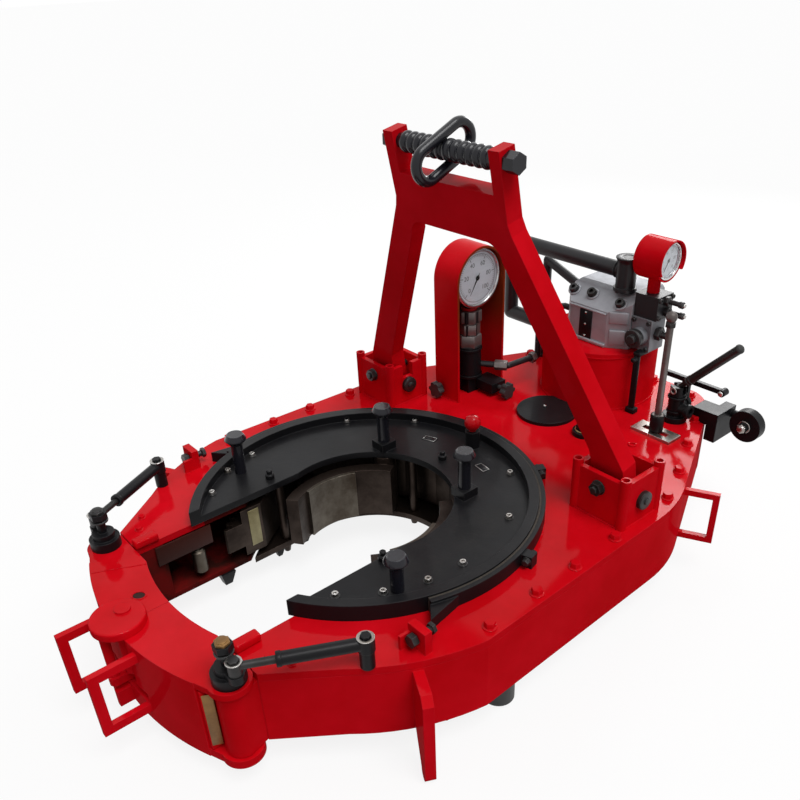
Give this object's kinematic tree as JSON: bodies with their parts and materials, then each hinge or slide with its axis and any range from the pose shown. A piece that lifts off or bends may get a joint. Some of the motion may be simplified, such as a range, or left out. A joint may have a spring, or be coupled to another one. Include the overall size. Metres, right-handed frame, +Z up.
{
  "type": "hydraulic power tong",
  "caption": "Hydraulic casing tong: C-shaped ring gear with cam-driven jaws in a gear case with swinging doors, lifting frame, motor and gauges.",
  "frame": {"origin": "on the pipe axis, on the plane that the tong stands on", "axes": "+Z up along the pipe axis, +Y from the pipe axis to the motor end, +X to the operator's side with the control lever"},
  "size_m": [0.9852, 1.5949, 0.9641],
  "materials": {
    "red_paint": "gloss enamel",
    "black_paint": "satin enamel",
    "knob_plastic": "moulded",
    "knob_red": "gloss",
    "oiled_steel": "oiled, dark",
    "black_steel": "satin",
    "die_steel": "knurled, oiled",
    "bright_steel": "zinc plated",
    "bronze": "turned",
    "friction_lining": "woven lining",
    "cast_aluminium": "cast, machined faces",
    "black_hose_steel": "satin enamel",
    "gauge_case": "polished bezel",
    "clear_glass": "clear",
    "needle_black": "matt",
    "foot_rubber": "moulded"
  },
  "bodies": {
    "tong": {"case_shell": "red_paint", "top_plate": "red_paint", "shaft_covers": "black_paint", "bronze_bearings": "bronze", "idler_shafts": "oiled_steel", "brake_band": "black_paint", "band_lining": "friction_lining", "lift_brackets": "red_paint", "pins_and_bolts": "bright_steel", "motor_drum": "red_paint", "motor_block": "cast_aluminium", "relief_valve": "black_paint", "hydraulic_pipes": "black_hose_steel", "gauge_shroud": "red_paint", "gauge_cases": "gauge_case", "gauge_glasses": "clear_glass", "gauge_manifold": "black_paint", "small_gauge_guard": "red_paint", "shift_gate": "bright_steel", "control_valve": "black_paint", "tail_fork": "black_paint", "rubber_feet": "foot_rubber", "strut_posts": "black_paint"},
    "ring": {"ring_gear": "oiled_steel"},
    "cage": {"cage_dish": "black_paint", "cage_under_plate": "oiled_steel", "cage_spacers": "oiled_steel", "cage_pins": "black_steel"},
    "jaw_arm_right": {"jaw_right": "oiled_steel", "jaw_die_right": "die_steel"},
    "jaw_arm_left": {"jaw_left": "oiled_steel", "jaw_die_left": "die_steel"},
    "cam_roller_right": {"jaw_roller_right": "oiled_steel"},
    "cam_roller_left": {"jaw_roller_left": "oiled_steel"},
    "reverse_pin": {"reverse_knob": "knob_red"},
    "idler_right": {"rotary_idler_right": "oiled_steel"},
    "idler_left": {"rotary_idler_left": "oiled_steel"},
    "pair_right": {"pair_idler_right": "oiled_steel"},
    "pair_left": {"pair_idler_left": "oiled_steel"},
    "drive": {"drive_shaft": "oiled_steel"},
    "pinion": {"motor_pinion": "oiled_steel"},
    "gate_right": {"door_right": "red_paint", "door_crank_right": "black_paint"},
    "gate_left": {"door_left": "red_paint", "door_crank_left": "black_paint"},
    "latch": {"door_latch": "red_paint"},
    "strut_barrel_right": {"strut_tube_right": "black_paint"},
    "strut_barrel_left": {"strut_tube_left": "black_paint"},
    "strut_stem_right": {"strut_rod_right": "bright_steel"},
    "strut_stem_left": {"strut_rod_left": "bright_steel"},
    "hanger": {"lifting_frame": "red_paint"},
    "screw": {"level_screw": "black_paint"},
    "link": {"lifting_link": "black_paint"},
    "valve_left": {"needle_valve_left": "knob_plastic"},
    "valve_right": {"needle_valve_right": "knob_plastic"},
    "torque_hand": {"torque_needle": "needle_black"},
    "pressure_hand": {"pressure_needle": "needle_black"},
    "shifter": {"shift_lever": "bright_steel"},
    "hand_lever": {"control_lever": "bright_steel"},
    "line_roller": {"tail_roller": "black_paint"}
  },
  "joints": [
    {"name": "ring_turn", "type": "hinge", "parent": "tong", "child": "ring", "pos_m": [0, 0, 0.15], "axis": [0, 0, 1], "continuous": true},
    {"name": "cage_turn", "type": "hinge", "parent": "ring", "child": "cage", "pos_m": [0, 0, 0.15], "axis": [0, 0, 1], "range_deg": [0, 30]},
    {"name": "jaw_right_swing", "type": "hinge", "parent": "cage", "child": "jaw_arm_right", "pos_m": [0.136, 0.161, 0.15], "axis": [0, 0, 1], "range_deg": [-8, 0]},
    {"name": "jaw_left_swing", "type": "hinge", "parent": "cage", "child": "jaw_arm_left", "pos_m": [-0.136, 0.161, 0.15], "axis": [0, 0, 1], "range_deg": [0, 8]},
    {"name": "cam_roller_right_turn", "type": "hinge", "parent": "jaw_arm_right", "child": "cam_roller_right", "pos_m": [0.237, 0, 0.147], "axis": [0, 0, 1], "continuous": true},
    {"name": "cam_roller_left_turn", "type": "hinge", "parent": "jaw_arm_left", "child": "cam_roller_left", "pos_m": [-0.237, 0, 0.147], "axis": [0, 0, 1], "continuous": true},
    {"name": "reverse_pin_lift", "type": "slide", "parent": "cage", "child": "reverse_pin", "axis": [0, 0, 1], "range_m": [0, 0.03]},
    {"name": "idler_right_turn", "type": "hinge", "parent": "tong", "child": "idler_right", "pos_m": [0.25925, 0.29403, 0.147], "axis": [0, 0, 1], "continuous": true},
    {"name": "idler_left_turn", "type": "hinge", "parent": "tong", "child": "idler_left", "pos_m": [-0.25925, 0.29403, 0.147], "axis": [0, 0, 1], "continuous": true},
    {"name": "pair_right_turn", "type": "hinge", "parent": "tong", "child": "pair_right", "pos_m": [0.19367, 0.49563, 0.147], "axis": [0, 0, 1], "continuous": true},
    {"name": "pair_left_turn", "type": "hinge", "parent": "tong", "child": "pair_left", "pos_m": [-0.19367, 0.49563, 0.147], "axis": [0, 0, 1], "continuous": true},
    {"name": "drive_turn", "type": "hinge", "parent": "tong", "child": "drive", "pos_m": [0, 0.6, 0.147], "axis": [0, 0, 1], "continuous": true},
    {"name": "pinion_turn", "type": "hinge", "parent": "tong", "child": "pinion", "pos_m": [0.03233, 0.72592, 0.097], "axis": [0, 0, 1], "continuous": true},
    {"name": "gate_right_swing", "type": "hinge", "parent": "tong", "child": "gate_right", "pos_m": [0.246, -0.474, 0.137], "axis": [0, 0, 1], "range_deg": [0, 95]},
    {"name": "gate_left_swing", "type": "hinge", "parent": "tong", "child": "gate_left", "pos_m": [-0.246, -0.474, 0.137], "axis": [0, 0, 1], "range_deg": [-95, 0]},
    {"name": "latch_turn", "type": "hinge", "parent": "gate_left", "child": "latch", "pos_m": [-0.018, -0.538, 0.227], "axis": [0, 0, 1], "range_deg": [0, 75]},
    {"name": "strut_right_swing", "type": "hinge", "parent": "tong", "child": "strut_barrel_right", "pos_m": [0.376, -0.288, 0.277], "axis": [0, 0, 1], "range_deg": [-12, 0]},
    {"name": "strut_left_swing", "type": "hinge", "parent": "tong", "child": "strut_barrel_left", "pos_m": [-0.376, -0.288, 0.277], "axis": [0, 0, 1], "range_deg": [0, 12]},
    {"name": "strut_right_stroke", "type": "slide", "parent": "strut_barrel_right", "child": "strut_stem_right", "axis": [0.4772, 0.8788, 0], "range_m": [0, 0.015]},
    {"name": "strut_left_stroke", "type": "slide", "parent": "strut_barrel_left", "child": "strut_stem_left", "axis": [-0.4772, 0.8788, 0], "range_m": [0, 0.015]},
    {"name": "hanger_tilt", "type": "hinge", "parent": "tong", "child": "hanger", "pos_m": [0, 0.375, 0.276], "axis": [1, 0, 0], "range_deg": [-8, 0]},
    {"name": "level_screw_turn", "type": "hinge", "parent": "hanger", "child": "screw", "pos_m": [0, 0.24486, 0.91], "axis": [1, 0, 0], "continuous": true},
    {"name": "link_swing", "type": "hinge", "parent": "hanger", "child": "link", "pos_m": [0, 0.24486, 0.91], "axis": [1, 0, 0], "range_deg": [-42, 15]},
    {"name": "needle_valve_left_turn", "type": "hinge", "parent": "tong", "child": "valve_left", "pos_m": [-0.262, 0.47, 0.251], "axis": [0, 1, 0], "continuous": true},
    {"name": "needle_valve_right_turn", "type": "hinge", "parent": "tong", "child": "valve_right", "pos_m": [-0.159, 0.565, 0.251], "axis": [1, 0, 0], "continuous": true},
    {"name": "torque_hand_turn", "type": "hinge", "parent": "tong", "child": "torque_hand", "pos_m": [-0.212, 0.54, 0.537], "axis": [1, 0, 0], "range_deg": [-238, 32]},
    {"name": "pressure_hand_turn", "type": "hinge", "parent": "tong", "child": "pressure_hand", "pos_m": [0.157, 0.789, 0.605], "axis": [1, 0, 0], "range_deg": [-238, 32]},
    {"name": "shift_lever_tilt", "type": "hinge", "parent": "tong", "child": "shifter", "pos_m": [0.244, 0.689, 0.231], "axis": [0, 1, 0], "range_deg": [-8, 8]},
    {"name": "hand_lever_tilt", "type": "hinge", "parent": "tong", "child": "hand_lever", "pos_m": [0.232, 0.782, 0.311], "axis": [0, 1, 0], "range_deg": [-25, 25]},
    {"name": "line_roller_turn", "type": "hinge", "parent": "tong", "child": "line_roller", "pos_m": [0.387, 0.85, 0.245], "axis": [0, 1, 0], "continuous": true}
  ],
  "couplings": [
    {"joint": "jaw_right_swing", "follows": "cage_turn", "ratio": -0.26667},
    {"joint": "jaw_left_swing", "follows": "cage_turn", "ratio": 0.26667},
    {"joint": "idler_right_turn", "follows": "ring_turn", "ratio": -3.4545},
    {"joint": "idler_left_turn", "follows": "ring_turn", "ratio": -3.4545},
    {"joint": "pair_right_turn", "follows": "ring_turn", "ratio": 2.4516},
    {"joint": "pair_left_turn", "follows": "ring_turn", "ratio": 2.4516},
    {"joint": "drive_turn", "follows": "ring_turn", "ratio": -3.1667},
    {"joint": "pinion_turn", "follows": "ring_turn", "ratio": 7.125},
    {"joint": "strut_right_swing", "follows": "gate_right_swing", "ratio": -0.122},
    {"joint": "strut_left_swing", "follows": "gate_left_swing", "ratio": -0.122},
    {"joint": "strut_right_stroke", "follows": "gate_right_swing", "m_per_rad": 0.008444},
    {"joint": "strut_left_stroke", "follows": "gate_left_swing", "m_per_rad": -0.008444}
  ]
}
